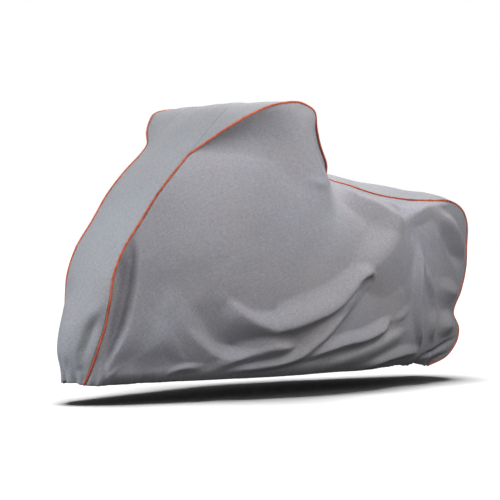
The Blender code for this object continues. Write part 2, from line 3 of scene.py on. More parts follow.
import bmesh
import bpy
import numpy as np
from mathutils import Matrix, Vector


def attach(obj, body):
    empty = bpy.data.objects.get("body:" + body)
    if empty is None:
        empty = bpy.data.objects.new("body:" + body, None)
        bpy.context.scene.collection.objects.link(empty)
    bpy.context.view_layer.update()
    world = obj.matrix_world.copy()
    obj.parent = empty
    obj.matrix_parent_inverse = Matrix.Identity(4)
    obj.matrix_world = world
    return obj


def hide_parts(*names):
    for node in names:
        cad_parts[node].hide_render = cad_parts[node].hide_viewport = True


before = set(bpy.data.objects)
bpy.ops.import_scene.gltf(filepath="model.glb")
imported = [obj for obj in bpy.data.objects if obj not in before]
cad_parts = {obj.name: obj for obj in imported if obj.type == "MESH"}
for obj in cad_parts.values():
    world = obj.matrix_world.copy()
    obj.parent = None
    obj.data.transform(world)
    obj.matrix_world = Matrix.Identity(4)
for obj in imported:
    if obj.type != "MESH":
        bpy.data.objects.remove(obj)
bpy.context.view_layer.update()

# sizes are in metres, but in millimetres in the tables. they are taken on the machine that the cover hangs
# over: x rearward, y to its right, z above its floor
cover = {
    "restPoint": (-0.160, 0.0, 1.188),  # the frame's origin, under the top
    "cloth": 0.0012,
    "pipingRadius": 0.0045,
    "seamGap": 0.0004,
    "fine": 8,  # cloth steps in each step of the seam
    "rows": 138,  # rows of a side panel, closer together toward the hem
    "lowerRows": 0.62,
    # name: edge x, edge z, half width, crown of the middle, rearward drift of the middle
    "strip": {
        "front hem": (-941, 78, 67, 34, 0),
        "under wheel": (-927, 124, 86, 63, 0),
        "wheel front": (-915, 175, 102, 92, 0),
        "wheel": (-903, 234, 120, 100, 0),
        "wheel top": (-888, 294, 133, 98, 0),
        "mudguard": (-881, 354, 144, 80, 0),
        "fork foot": (-873, 414, 152, 58, 0),
        "fork": (-863, 495, 155, 30, 0),
        "fork top": (-818, 600, 160, 15, 0),
        "lamp foot": (-740, 705, 162, 12, 0),
        "lamp": (-662, 812, 168, 12, 0),
        "lamp top": (-575, 905, 170, 12, 0),
        "front notch": (-510, 965, 165, 12, 0),
        "screen foot": (-445, 1026, 160, 12, 0),
        "screen": (-378, 1090, 157, 12, 0),
        "screen top": (-318, 1142, 154, 10, 0),
        "crest front": (-262, 1169, 152, 8, 0),
        "crest": (-190, 1182, 152, 6, 0),
        "crest middle": (-120, 1184, 152, 6, 0),
        "crest rear": (-40, 1176, 152, 8, 0),
        "bar rear": (15, 1140, 154, 10, 0),
        "bar foot": (62, 1072, 156, 12, 0),
        "tank rise": (110, 1010, 158, 16, 0),
        "tank": (168, 944, 160, 22, 0),
        "rear notch": (235, 882, 160, 35, 0),
        "seat front": (340, 858, 162, 50, 0),
        "seat low": (500, 820, 168, 58, 0),
        "seat": (680, 798, 170, 60, 0),
        "seat rear": (850, 795, 166, 46, 0),
        "tail edge": (960, 792, 158, 32, 0),
        "tail top": (1045, 755, 150, 26, 0),
        "tail bend": (1080, 695, 146, 26, 0),
        "tail": (1080, 600, 145, 28, 0),
        "tail middle": (1074, 500, 145, 30, 0),
        "tail low": (1045, 400, 145, 34, 0),
        "tail tuck": (997, 300, 143, 40, 0),
        "tail bulge": (1034, 228, 140, 40, 0),
        "tail turn": (1024, 165, 134, 30, 0),
        "tail under": (970, 105, 124, 4, 20),
        "rear hem": (870, 67, 110, -12, 50),
    },
    # name: piped edge x, z, half width, and how much further back the right wing's edge is
    "wing": {
        "screen foot": (-455, 1018, 215, 28),
        "screen": (-405, 1075, 290, 33),
        "screen top": (-345, 1124, 352, 34),
        "crest front": (-272, 1158, 383, 10),
        "crest": (-200, 1174, 391, 0),
        "crest middle": (-130, 1179, 383, 0),
        "crest rear": (-62, 1168, 365, 0),
        "bar rear": (-1, 1143, 342, 0),
        "bar foot": (43, 1080, 304, 0),
        "tank rise": (89, 1014, 274, 0),
        "tank": (151, 946, 240, 0),
    },
    # seam spans between named places, with the steps that the solids have
    "spans": (
        ("front hem", "front notch", 20),
        ("front notch", "crest front", 7),
        ("crest front", "rear notch", 19),
        ("rear notch", "tail top", 25),
        ("tail top", "rear hem", 27),
    ),
    # side hem: x, half width, z
    "hem": (
        (-941, 67, 78),
        (-870, 118, 74),
        (-700, 165, 78),
        (-450, 215, 78),
        (-150, 250, 77),
        (150, 258, 77),
        (400, 235, 77),
        (600, 195, 79),
        (760, 150, 78),
        (870, 110, 67),
    ),
    # half width of the plain side, a row for each height and a column for each x
    "bodyX": (-950, -800, -600, -400, -200, 0, 200, 400, 600, 800, 1000),
    "body": {
        50: (100, 145, 185, 220, 245, 256, 256, 235, 195, 140, 100),
        250: (115, 150, 205, 252, 288, 305, 305, 285, 250, 210, 150),
        400: (120, 145, 210, 272, 315, 335, 332, 310, 278, 235, 165),
        550: (120, 135, 208, 285, 332, 352, 345, 315, 280, 240, 170),
        700: (120, 135, 200, 288, 345, 362, 340, 295, 262, 232, 165),
        850: (120, 140, 190, 285, 355, 368, 290, 200, 185, 175, 150),
        1000: (120, 150, 180, 280, 372, 372, 225, 165, 165, 160, 150),
        1200: (120, 150, 180, 270, 385, 370, 210, 160, 160, 160, 150),
    },
    "bodySteps": 240,
    "edgeHold": 5.0,  # how soon the side leaves the line of its edges
    "wingGap": 0.0004,
}
fine = cover["fine"]
frontSteps = (cover["spans"][0][2] + cover["spans"][1][2]) * fine
topSteps = (cover["spans"][2][2] + cover["spans"][3][2]) * fine
firstNotch = cover["spans"][0][2] * fine
secondNotch = firstNotch + (cover["spans"][1][2] + cover["spans"][2][2]) * fine
pipingRoom = cover["pipingRadius"] + cover["seamGap"]


def smoothLine(knots, values, at):
    knots = np.asarray(knots, float)
    values = np.asarray(values, float)
    slope = np.empty_like(values)
    slope[1:-1] = (values[2:] - values[:-2]) / (knots[2:] - knots[:-2])[:, None]
    slope[0] = (values[1] - values[0]) / (knots[1] - knots[0])
    slope[-1] = (values[-1] - values[-2]) / (knots[-1] - knots[-2])
    at = np.asarray(at, float)
    span = np.clip(np.searchsorted(knots, at, side="right") - 1, 0, len(knots) - 2)
    width = (knots[span + 1] - knots[span])[:, None]
    t = (at - knots[span])[:, None] / width
    start = values[span] * (1 + 2 * t) * (1 - t) ** 2 + slope[span] * width * t * (1 - t) ** 2
    end = values[span + 1] * t**2 * (3 - 2 * t) - slope[span + 1] * width * t**2 * (1 - t)
    return start + end


def runLength(points):
    return np.concatenate([[0.0], np.cumsum(np.linalg.norm(np.diff(points, axis=0), axis=1))])


def unit(vectors):
    return vectors / np.maximum(np.linalg.norm(vectors, axis=-1, keepdims=True), 1e-12)


def seamLines(side):
    # strip edge (x, z, half, crown, drift) and piped seam (x, half, z) at every fine step
    names = list(cover["strip"])
    edgeRows = np.array([cover["strip"][name] for name in names]) / 1000
    pipeRows = []
    for name in names:
        x, z, half = cover["strip"][name][:3]
        if name in cover["wing"]:
            x, z, half, _ = cover["wing"][name]
        pipeRows.append((x, half, z))
    pipeRows = np.array(pipeRows) / 1000
    along = runLength(pipeRows)
    if side > 0:
        pipeRows[:, 0] += np.array([cover["wing"].get(name, (0, 0, 0, 0))[3] for name in names]) / 1000
    place = dict(zip(names, along))
    steps = [np.linspace(place[a], place[b], n * fine + 1)[:-1] for a, b, n in cover["spans"]]
    steps = np.concatenate(steps + [[along[-1]]])
    edge = smoothLine(along, edgeRows, steps)
    pipe = smoothLine(along, pipeRows, steps)
    plain = (steps <= place["front notch"]) | (steps >= place["rear notch"])
    pipe[plain] = edge[plain][:, [0, 2, 1]]
    return edge, pipe


def drawBack(edge, towards, distance):
    # edge points moved square to their own line, to leave room for the seam
    tangent = unit(np.gradient(edge, axis=0))
    inward = towards - edge
    inward = inward - tangent * (inward * tangent).sum(axis=1, keepdims=True)
    return edge + unit(inward) * np.reshape(distance, (-1, 1))


def bodyHalf(x, z):
    levels = np.array(list(cover["body"])) / 1000
    columns = np.array(cover["bodyX"]) / 1000
    body = [np.array(row)[:, None] / 1000 for row in cover["body"].values()]
    rows = np.stack([smoothLine(columns, row, x.ravel())[:, 0] for row in body])
    height = np.clip(z.ravel(), levels[0], levels[-1])
    heldZ = np.linspace(levels[0], levels[-1], cover["bodySteps"])
    table = smoothLine(levels, rows, heldZ)  # heights down, places across
    spot = (height - levels[0]) / (levels[-1] - levels[0]) * (len(heldZ) - 1)
    low = np.clip(spot.astype(int), 0, len(heldZ) - 2)
    share = spot - low
    column = np.arange(x.size)
    return (table[low, column] * (1 - share) + table[low + 1, column] * share).reshape(x.shape)


def blendLines(front, rear, hem, top, atFront, atRear, atHem, atTop):
    patch = front[None] * atFront[:, :, None] + rear[None] * atRear[:, :, None]
    patch = patch + hem[:, None] * atHem[:, :, None] + top[:, None] * atTop[:, :, None]
    for point, across, up in (
        (front[0], atFront, atHem),
        (front[-1], atFront, atTop),
        (rear[0], atRear, atHem),
        (rear[-1], atRear, atTop),
    ):
        patch = patch - point * (across * up)[:, :, None]
    return patch


def plainSide(side):
    # a column for each fine step rearward, a row for each fine step up; y is the half width
    pipe = seamLines(side)[1]
    front = pipe[: frontSteps + 1]
    top = pipe[frontSteps : frontSteps + topSteps + 1]
    rear = pipe[frontSteps + topSteps :][::-1]
    hem = np.array(cover["hem"]) / 1000
    length = runLength(hem)
    hem = smoothLine(length, hem, np.linspace(0.0, length[-1], topSteps + 1))
    u = np.linspace(0.0, 1.0, topSteps + 1)[:, None]
    v = np.linspace(0.0, 1.0, frontSteps + 1)[None, :]
    patch = blendLines(front, rear, hem, top, 1 - u, u, 1 - v, v)
    half = bodyHalf(patch[:, :, 0], patch[:, :, 2])
    gaps = ((front, half[0]), (rear, half[-1]), (hem, half[:, 0]), (top, half[:, -1]))
    gaps = [(line[:, 1] - width)[:, None] for line, width in gaps]
    hold = cover["edgeHold"]
    patch[:, :, 1] = half + blendLines(*gaps, (1 - u) ** hold, u**hold, (1 - v) ** hold, v**hold)[:, :, 0]
    return patch


# a fold is a line of (x, z, height, spread above, spread below) in millimetres; a trough's height is below
# zero, and on a line that runs downward the first spread is behind it. the two leading numbers are how
# sharply the cloth breaks above and below the line: 0 a round crest, 1 a creased one
leftFolds = {
    "fork groove": (0.2, 1.0, (
        (-800, 660, -4, 25, 30), (-779, 590, -13, 28, 55), (-783, 517, -18, 30, 75),
        (-789, 462, -21, 30, 82), (-805, 395, -22, 30, 80), (-822, 330, -21, 30, 75),
        (-841, 270, -19, 28, 64), (-863, 217, -16, 25, 52), (-877, 169, -13, 22, 42),
        (-889, 121, -9, 20, 35))),
    "fork flat": (0.0, 0.0, (
        (-800, 600, -8, 25, 25), (-818, 530, -19, 36, 34), (-828, 462, -23, 40, 36),
        (-844, 395, -23, 40, 36), (-858, 330, -21, 36, 32), (-872, 270, -18, 32, 26),
        (-888, 217, -13, 26, 20), (-900, 169, -8, 20, 16))),
    "fork ridge": (0.0, 0.3, (
        (-740, 640, 2, 100, 40), (-752, 575, 4, 110, 40), (-755, 521, 6, 120, 36),
        (-762, 461, 8, 120, 34), (-772, 404, 9, 110, 34), (-788, 333, 9, 100, 34), (-801, 283, 9, 90, 32),
        (-824, 230, 8, 80, 30), (-843, 182, 7, 60, 28), (-864, 134, 5, 50, 24))),
    "bowl": (0.3, 0.2, (
        (-600, 340, -2, 120, 30), (-545, 305, -10, 150, 40), (-480, 262, -17, 170, 50),
        (-410, 225, -21, 170, 55), (-330, 205, -20, 140, 45), (-240, 212, -14, 100, 35),
        (-150, 232, -8, 70, 30), (-60, 245, -3, 50, 30))),
    "bowl spot": (0.2, 0.2, (
        (-400, 232, -2, 30, 20), (-361, 212, -9, 30, 18), (-310, 190, -3, 25, 15))),
    "knee ridge": (0.1, 0.9, (
        (-683, 458, 2, 60, 50), (-651, 419, 6, 70, 60), (-620, 365, 10, 80, 80), (-588, 317, 15, 80, 110),
        (-547, 273, 18, 75, 130), (-507, 235, 18, 65, 120), (-464, 199, 14, 50, 80),
        (-418, 174, 9, 36, 50), (-363, 162, 5, 28, 32), (-318, 165, 2, 25, 30))),
    "knee arm": (0.0, 1.0, (
        (-801, 150, 3, 100, 40), (-740, 190, 9, 150, 70), (-669, 245, 18, 200, 120),
        (-625, 275, 21, 200, 150), (-590, 290, 14, 100, 140))),
    "lip": (0.25, 0.8, (
        (-425, 404, 1, 20, 50), (-395, 386, 12, 24, 90), (-361, 360, 23, 30, 120),
        (-322, 331, 30, 38, 140), (-282, 310, 33, 48, 140), (-236, 291, 36, 70, 110),
        (-187, 276, 39, 90, 80), (-137, 284, 42, 105, 65), (-81, 300, 45, 110, 60),
        (-9, 322, 46, 110, 54), (50, 341, 44, 110, 50), (103, 365, 42, 105, 48), (143, 391, 40, 100, 48),
        (181, 424, 38, 90, 50), (213, 451, 36, 80, 52), (244, 474, 34, 70, 52), (280, 487, 28, 50, 50),
        (315, 474, 16, 30, 44), (332, 445, 4, 20, 30))),
    "dangle": (0.5, 0.5, (
        (-160, 285, -4, 40, 40), (-152, 262, -10, 45, 50), (-138, 238, -10, 45, 50),
        (-120, 212, -3, 35, 40))),
    "long ridge": (0.0, 0.9, (
        (200, 450, 6, 80, 60), (262, 492, 16, 110, 100), (308, 515, 26, 130, 140),
        (347, 535, 32, 140, 170), (400, 568, 34, 140, 190), (449, 604, 34, 130, 200),
        (500, 645, 30, 110, 180), (550, 682, 24, 80, 130), (590, 705, 14, 50, 70))),
    "hook hollow": (0.2, 0.3, (
        (190, 430, -2, 18, 22), (225, 452, -8, 20, 26), (262, 470, -13, 22, 28), (295, 470, -14, 22, 28),
        (316, 450, -8, 22, 26), (318, 425, -2, 20, 20))),
    "hook end": (0.3, 0.3, (
        (330, 440, -2, 15, 15), (306, 408, -6, 16, 16), (283, 375, -2, 15, 15))),
    "low band": (0.0, 0.5, (
        (-378, 108, 2, 20, 18), (-288, 118, 8, 24, 22), (-210, 127, 13, 26, 26), (-134, 137, 18, 30, 30),
        (-77, 151, 23, 36, 34), (-29, 172, 28, 44, 38), (25, 210, 31, 50, 42), (84, 257, 32, 52, 46),
        (130, 307, 31, 50, 48), (177, 355, 27, 45, 48), (232, 402, 20, 40, 44), (278, 440, 8, 30, 40))),
    "lens lip": (0.0, 1.0, (
        (-470, 108, 3, 30, 18), (-383, 144, 12, 50, 30), (-320, 169, 19, 60, 38), (-253, 191, 26, 65, 46),
        (-182, 202, 31, 60, 52), (-110, 203, 30, 50, 48), (-60, 199, 18, 30, 34), (-28, 194, 4, 20, 20))),
    "tongue lip": (0.1, 1.0, (
        (-60, 122, 3, 30, 18), (0, 150, 11, 35, 26), (60, 170, 18, 40, 32), (130, 189, 23, 45, 36),
        (207, 208, 27, 45, 38), (298, 221, 29, 45, 40), (367, 240, 30, 45, 42), (424, 262, 29, 40, 42),
        (470, 286, 21, 30, 38), (500, 292, 5, 20, 20))),
    "tongue dimple": (0.1, 0.1, (
        (452, 262, -6, 18, 18), (478, 268, -14, 20, 20), (500, 262, -4, 20, 20))),
    "low swell": (0.1, 0.0, (
        (120, 112, 3, 25, 40), (196, 132, 9, 28, 50), (299, 160, 14, 30, 60), (400, 187, 17, 30, 70),
        (490, 214, 17, 30, 70), (560, 230, 12, 28, 60), (620, 238, 4, 20, 50))),
    "mid crease": (0.2, 0.4, (
        (470, 283, 2, 20, 20), (548, 297, 6, 30, 25), (605, 322, 6, 30, 25), (640, 352, 2, 20, 20))),
    "rear lip": (0.1, 0.9, (
        (330, 76, 3, 30, 16), (400, 94, 8, 35, 18), (450, 107, 11, 40, 20), (539, 127, 14, 45, 24),
        (631, 137, 15, 45, 26), (700, 140, 12, 35, 24), (745, 138, 3, 20, 20))),
    "seat crest": (1.0, 0.9, (
        (205, 868, 12, 14, 50), (262, 820, 27, 32, 60), (311, 787, 35, 50, 60), (383, 756, 40, 70, 60),
        (442, 730, 40, 90, 60), (498, 708, 37, 105, 60), (545, 690, 28, 115, 50), (590, 678, 16, 100, 50))),
    "seat streak": (0.3, 0.3, (
        (449, 796, 1, 14, 12), (521, 779, 4, 16, 12), (604, 757, 4, 16, 12), (688, 736, 1, 14, 12))),
    "corner arc": (0.5, 0.9, (
        (560, 690, 8, 70, 30), (620, 712, 18, 70, 45), (690, 733, 24, 60, 50), (761, 752, 22, 45, 50),
        (842, 767, 17, 30, 45), (914, 776, 10, 20, 40), (975, 783, 2, 20, 30))),
    "tail ridge": (0.1, 0.8, (
        (745, 737, 4, 40, 25), (800, 730, 13, 50, 30), (854, 712, 21, 60, 34), (899, 689, 26, 70, 38),
        (950, 650, 28, 70, 40), (992, 606, 25, 60, 40), (1030, 560, 17, 40, 36), (1065, 515, 5, 20, 20))),
    "tail valley": (0.5, 0.4, (
        (815, 695, -3, 25, 25), (856, 650, -12, 30, 35), (896, 610, -16, 34, 40), (933, 575, -17, 36, 45),
        (982, 536, -16, 36, 45), (1040, 495, -8, 30, 40))),
    "tail rib": (0.2, 0.2, (
        (765, 689, 1, 18, 18), (804, 655, 5, 20, 20), (843, 610, 6, 20, 20), (877, 566, 4, 20, 20),
        (906, 526, 1, 18, 18))),
    "strain one": (0.4, 0.4, (
        (615, 692, 1, 12, 12), (634, 672, 6, 14, 12), (653, 650, 6, 14, 12), (668, 629, 2, 12, 12))),
    "strain two": (0.4, 0.4, (
        (660, 695, 2, 14, 12), (682, 668, 8, 16, 14), (705, 645, 8, 16, 14), (730, 624, 2, 14, 12))),
    "strain three": (0.4, 0.4, (
        (725, 668, 1, 14, 12), (740, 635, 6, 14, 14), (760, 605, 6, 14, 14), (780, 580, 1, 12, 12))),
    "strain four": (0.4, 0.4, (
        (790, 665, 1, 12, 12), (806, 640, 4, 14, 12), (820, 610, 1, 12, 12))),
    "strain dimple": (0.1, 0.1, (
        (596, 668, -2, 18, 20), (615, 652, -9, 18, 22), (632, 630, -7, 16, 24), (640, 600, -3, 15, 30))),
    "shock ridge": (0.5, 0.6, (
        (668, 640, 3, 30, 16), (668, 590, 14, 36, 20), (666, 546, 20, 40, 22), (657, 480, 23, 42, 24),
        (659, 400, 23, 40, 24), (664, 330, 22, 38, 24), (680, 260, 20, 36, 24), (710, 200, 17, 34, 22),
        (748, 142, 8, 25, 20))),
    "shock hollow": (0.3, 0.0, (
        (640, 600, -2, 15, 50), (634, 520, -5, 15, 70), (626, 430, -7, 18, 90), (628, 350, -9, 18, 90),
        (645, 280, -6, 18, 70), (680, 210, -2, 16, 50))),
    "rack ridge": (0.6, 0.6, (
        (672, 565, 5, 32, 18), (699, 498, 14, 40, 22), (733, 442, 19, 46, 26), (765, 386, 21, 46, 26),
        (783, 319, 19, 40, 24), (786, 262, 18, 40, 24), (801, 212, 15, 40, 24), (842, 168, 6, 30, 20))),
    "rack hollow": (0.2, 0.2, (
        (800, 520, -2, 30, 30), (790, 465, -6, 30, 30), (806, 425, -6, 30, 30))),
    "tail wedge": (0.1, 0.9, (
        (795, 428, 6, 50, 40), (872, 408, 21, 60, 80), (950, 390, 29, 60, 100), (1030, 374, 18, 40, 90))),
    "tail bulge": (0.4, 0.3, (
        (812, 250, 6, 50, 50), (880, 248, 20, 70, 60), (950, 250, 26, 70, 60), (1010, 252, 14, 50, 50))),
    "tail crease": (0.5, 0.8, (
        (735, 94, -4, 14, 14), (805, 120, -12, 16, 20), (873, 142, -15, 18, 22), (944, 166, -15, 18, 22),
        (1022, 186, -8, 14, 20))),
    "tail low crease": (0.5, 0.8, (
        (850, 84, -4, 12, 14), (924, 107, -11, 14, 16), (985, 131, -6, 12, 15))),
    "bar edge": (0.5, 0.5, (
        (-10, 1125, -4, 40, 40), (12, 1085, -12, 50, 50), (32, 1050, -17, 55, 55),
        (60, 1010, -20, 60, 60), (96, 965, -20, 55, 55), (142, 925, -17, 50, 50), (190, 897, -8, 35, 35),
        (230, 872, -1, 30, 30))),
    "notch patch": (0.2, 0.3, (
        (-70, 880, 1, 30, 30), (-10, 866, 6, 30, 30), (50, 856, 6, 30, 30), (110, 850, 1, 30, 30))),
    "hem flap": (0.5, 0.5, (
        (-640, 92, 3, 18, 12), (-612, 120, 10, 18, 22), (-575, 136, 12, 18, 28), (-514, 138, 10, 18, 28),
        (-450, 136, 3, 16, 20))),
    "front lobe": (0.4, 0.6, (
        (-820, 150, 2, 14, 10), (-842, 132, 8, 16, 12), (-860, 112, 9, 16, 12), (-872, 92, 4, 14, 10))),
}
rightFolds = {
    "fork groove": (0.3, 0.8, (
        (-786, 600, -10, 30, 50), (-790, 470, -19, 30, 70), (-816, 340, -19, 30, 70),
        (-858, 215, -14, 25, 50), (-885, 125, -8, 20, 35))),
    "knee ridge": (0.2, 0.7, (
        (-700, 500, 3, 60, 50), (-640, 400, 12, 60, 60), (-560, 305, 18, 60, 80), (-480, 230, 16, 50, 70),
        (-390, 175, 9, 40, 40), (-320, 160, 3, 30, 30))),
    "knee arm": (0.1, 0.8, (
        (-790, 140, 3, 80, 30), (-720, 195, 11, 120, 50), (-640, 260, 17, 120, 80),
        (-590, 290, 12, 80, 80))),
    "bowl": (0.2, 0.2, (
        (-560, 330, -4, 140, 40), (-460, 260, -17, 170, 50), (-350, 220, -20, 150, 50),
        (-230, 222, -12, 100, 40), (-100, 245, -3, 60, 30))),
    "lip": (0.3, 0.75, (
        (-450, 430, 2, 30, 50), (-390, 388, 13, 40, 100), (-320, 342, 20, 50, 130),
        (-230, 300, 26, 80, 100), (-130, 286, 32, 120, 50), (-20, 322, 34, 140, 50),
        (70, 358, 34, 140, 50), (150, 410, 30, 110, 50), (220, 468, 24, 80, 50), (270, 490, 14, 50, 45),
        (310, 468, 4, 30, 30))),
    "long ridge": (0.0, 0.9, (
        (220, 470, 8, 100, 80), (310, 525, 25, 130, 150), (400, 580, 32, 140, 190),
        (490, 650, 28, 110, 180), (580, 705, 12, 50, 80))),
    "low band": (0.2, 0.7, (
        (-400, 106, 3, 20, 18), (-250, 125, 11, 26, 24), (-120, 145, 19, 30, 32), (-20, 188, 24, 34, 38),
        (80, 270, 25, 38, 40), (170, 360, 20, 38, 40), (250, 425, 8, 30, 40))),
    "lens lip": (0.1, 0.9, (
        (-450, 118, 3, 30, 18), (-330, 170, 17, 45, 36), (-200, 208, 24, 45, 45), (-100, 206, 18, 40, 40),
        (-30, 196, 4, 20, 20))),
    "tongue lip": (0.1, 1.0, (
        (-20, 138, 5, 35, 22), (110, 186, 19, 45, 34), (250, 214, 25, 45, 38), (370, 244, 27, 45, 42),
        (460, 288, 19, 32, 40), (500, 300, 4, 20, 20))),
    "low swell": (0.1, 0.0, (
        (160, 118, 4, 25, 40), (300, 158, 14, 30, 60), (450, 200, 16, 30, 70), (600, 238, 5, 25, 50))),
    "rear lip": (0.1, 0.9, (
        (340, 78, 3, 30, 16), (450, 108, 11, 40, 20), (600, 136, 14, 45, 25), (740, 142, 3, 20, 20))),
    "seat crest": (0.8, 0.8, (
        (215, 866, 5, 22, 40), (300, 818, 22, 42, 70), (400, 780, 30, 60, 80), (500, 738, 28, 80, 70),
        (590, 700, 14, 90, 40))),
    "corner arc": (0.7, 0.6, (
        (570, 698, 8, 70, 30), (690, 736, 19, 60, 50), (830, 768, 14, 35, 45), (970, 784, 3, 20, 30))),
    "tail ridge": (0.1, 0.8, (
        (760, 735, 4, 40, 25), (860, 708, 16, 60, 32), (945, 650, 20, 70, 38), (1020, 570, 12, 40, 34),
        (1060, 515, 3, 20, 20))),
    "tail valley": (0.5, 0.4, (
        (820, 690, -3, 25, 25), (895, 612, -14, 34, 40), (980, 538, -14, 36, 45), (1035, 500, -6, 30, 40))),
    "strain one": (0.4, 0.4, (
        (640, 690, 1, 12, 12), (662, 664, 7, 15, 13), (690, 634, 2, 13, 12))),
    "strain two": (0.4, 0.4, (
        (705, 690, 1, 14, 12), (728, 655, 8, 16, 14), (760, 610, 2, 14, 12))),
    "shock ridge": (0.6, 0.5, (
        (662, 620, 3, 32, 18), (664, 520, 13, 36, 22), (655, 400, 15, 32, 22), (672, 280, 14, 28, 22),
        (735, 155, 5, 22, 20))),
    "rack ridge": (0.6, 0.5, (
        (690, 530, 6, 32, 18), (750, 415, 14, 40, 24), (785, 300, 14, 35, 22), (810, 200, 8, 30, 20))),
    "tail wedge": (0.1, 0.8, (
        (810, 420, 5, 40, 40), (900, 400, 17, 50, 80), (1020, 376, 10, 30, 80))),
    "tail crease": (0.5, 0.8, (
        (740, 96, -4, 14, 14), (860, 140, -14, 18, 22), (1010, 182, -7, 14, 20))),
    "bar edge": (0.8, 0.6, (
        (-80, 1145, 4, 32, 30), (-47, 1060, 20, 50, 50), (-40, 960, 22, 70, 50), (20, 897, 14, 58, 45),
        (100, 872, 4, 40, 30))),
    "hem flap": (0.5, 0.5, (
        (-630, 92, 3, 18, 12), (-585, 132, 11, 18, 26), (-470, 138, 3, 16, 20))),
}
# here a place is the run from the front hem and the place across the strip
stripFolds = {
    "foot valley": (0.3, 0.6, (
        (60, -68, -6, 20, 16), (114, -84, -11, 24, 20), (163, -96, -13, 24, 22), (205, -103, -13, 24, 22),
        (256, -117, -10, 24, 20), (285, -134, -3, 20, 20))),
    "foot ridge": (0.1, 0.2, (
        (350, -135, 2, 30, 30), (318, -120, 7, 35, 30), (285, -103, 9, 40, 30), (245, -80, 7, 40, 30),
        (205, -62, 2, 30, 30))),
    "foot swell": (0.0, 0.0, (
        (345, 90, 2, 40, 40), (312, 50, 6, 50, 50), (270, 0, 5, 50, 50), (240, -20, 2, 40, 40))),
    "foot pocket": (0.1, 0.1, (
        (38, -50, -4, 14, 14), (54, -66, -11, 16, 16), (68, -82, -4, 14, 14))),
    "foot crease": (0.3, 0.3, (
        (110, -40, -1, 10, 10), (70, -30, -6, 12, 12), (28, -18, -5, 12, 12))),
    "foot crease two": (0.3, 0.3, (
        (130, 10, -1, 10, 10), (80, 12, -6, 12, 12), (26, 6, -6, 12, 12))),
    "foot crease three": (0.3, 0.3, (
        (105, 46, -1, 10, 10), (70, 40, -5, 12, 12), (24, 34, -5, 12, 12))),
    "mid hollow": (0.1, 0.1, (
        (420, 145, -2, 40, 40), (380, 100, -8, 50, 50), (325, 50, -3, 40, 40))),
    "brow": (0.1, 0.1, (
        (560, -130, 2, 50, 50), (600, -40, 5, 60, 60), (620, 60, 5, 60, 60), (600, 140, 2, 50, 50))),
}
drape = {
    "depth": 1.25,  # every fold's height is taken times this
    "rounding": 0.025,  # share of its spread over which a crest is rounded
    "creasePower": 1.15,
    "knotSteps": 16,
    "seamFade": 0.014,  # folds die out this far from a seam
    "endFade": 0.10,
    "endHeight": 0.15,  # share of its height that a fold has at its end
    "wheels": (-0.85, 0.80),  # the elastic is in the hem here
    "wheelSpread": 0.22,
    "hemDepth": 0.006,  # the elastic's waves
    "hemPitch": 0.135,
    "hemRise": 0.070,
    "pucker": 0.0040,  # fine gathers on the elastic
    "puckerPitch": 0.036,
    "puckerBeat": 0.083,
    "puckerWander": (0.06, 2.4),  # size and strength
    "puckerBetween": 0.15,  # share of them between the wheels
    "puckerRise": 0.040,
    "curl": 0.030,  # how far the elastic draws the hem in
    "curlRise": 0.050,
    "curlFade": 0.12,
    "crumple": 0.0030,  # unplanned unevenness
    "crumpleSizes": (0.21, 0.105, 0.052),
    "noiseCells": 64,
    "noiseStart": (31.0, 17.0),
    "hemSeed": 11,
    "leftSeed": 41,
    "rightSeed": 51,
}


def softNoise(x, z, size, seed):
    # smooth random relief from -1 to 1, the same each run
    cells = drape["noiseCells"]
    table = np.random.RandomState(seed).uniform(-1, 1, (cells, cells))
    gx = x / size + drape["noiseStart"][0]
    gz = z / size + drape["noiseStart"][1]
    ix = np.floor(gx).astype(int)
    iz = np.floor(gz).astype(int)
    fx = gx - ix
    fz = gz - iz
    fx = fx * fx * fx * (fx * (fx * 6 - 15) + 10)
    fz = fz * fz * fz * (fz * (fz * 6 - 15) + 10)
    a = table[ix % cells, iz % cells]
    b = table[(ix + 1) % cells, iz % cells]
    c = table[ix % cells, (iz + 1) % cells]
    d = table[(ix + 1) % cells, (iz + 1) % cells]
    return (a * (1 - fx) + b * fx) * (1 - fz) + (c * (1 - fx) + d * fx) * fz


def foldLift(crispOver, crispUnder, line, x, z):
    line = np.array(line) / 1000
    length = runLength(line[:, :2])
    dense = smoothLine(length, line, np.linspace(0.0, length[-1], drape["knotSteps"] * len(line)))
    along = runLength(dense[:, :2])
    tangent = unit(np.gradient(dense[:, :2], axis=0))
    reach = dense[:, 3:5].max() + 0.01  # only points this near are worked out
    near = (x > dense[:, 0].min() - reach) & (x < dense[:, 0].max() + reach)
    near &= (z > dense[:, 1].min() - reach) & (z < dense[:, 1].max() + reach)
    off = np.stack([x[near], z[near]], axis=-1)[:, None, :] - dense[None, :, :2]
    pick = np.argmin((off**2).sum(axis=-1), axis=-1)
    off = off[np.arange(len(pick)), pick]
    away = tangent[pick, 0] * off[:, 1] - tangent[pick, 1] * off[:, 0]
    distance = np.linalg.norm(off, axis=-1)
    wide = np.where(away > 0, dense[pick, 3], dense[pick, 4])
    rounding = drape["rounding"]
    t = (np.sqrt((distance / wide) ** 2 + rounding**2) - rounding) / (math.sqrt(1 + rounding**2) - rounding)
    t = np.minimum(t, 1.0)
    crisp = np.where(away > 0, crispOver, crispUnder)
    bump = (1 - crisp) * (1 - t) ** 2 * (1 + 2 * t) + crisp * (1 - t) ** drape["creasePower"]
    end = np.clip(np.minimum(along, along[-1] - along)[pick] / drape["endFade"], 0.0, 1.0)
    end = drape["endHeight"] + (1 - drape["endHeight"]) * end * end * (3 - 2 * end)
    lift = np.zeros_like(x)
    lift[near] = drape["depth"] * dense[pick, 2] * bump * end
    return lift


def allFolds(folds, x, z):
    return sum(foldLift(over, under, line, x, z) for over, under, line in folds.values())


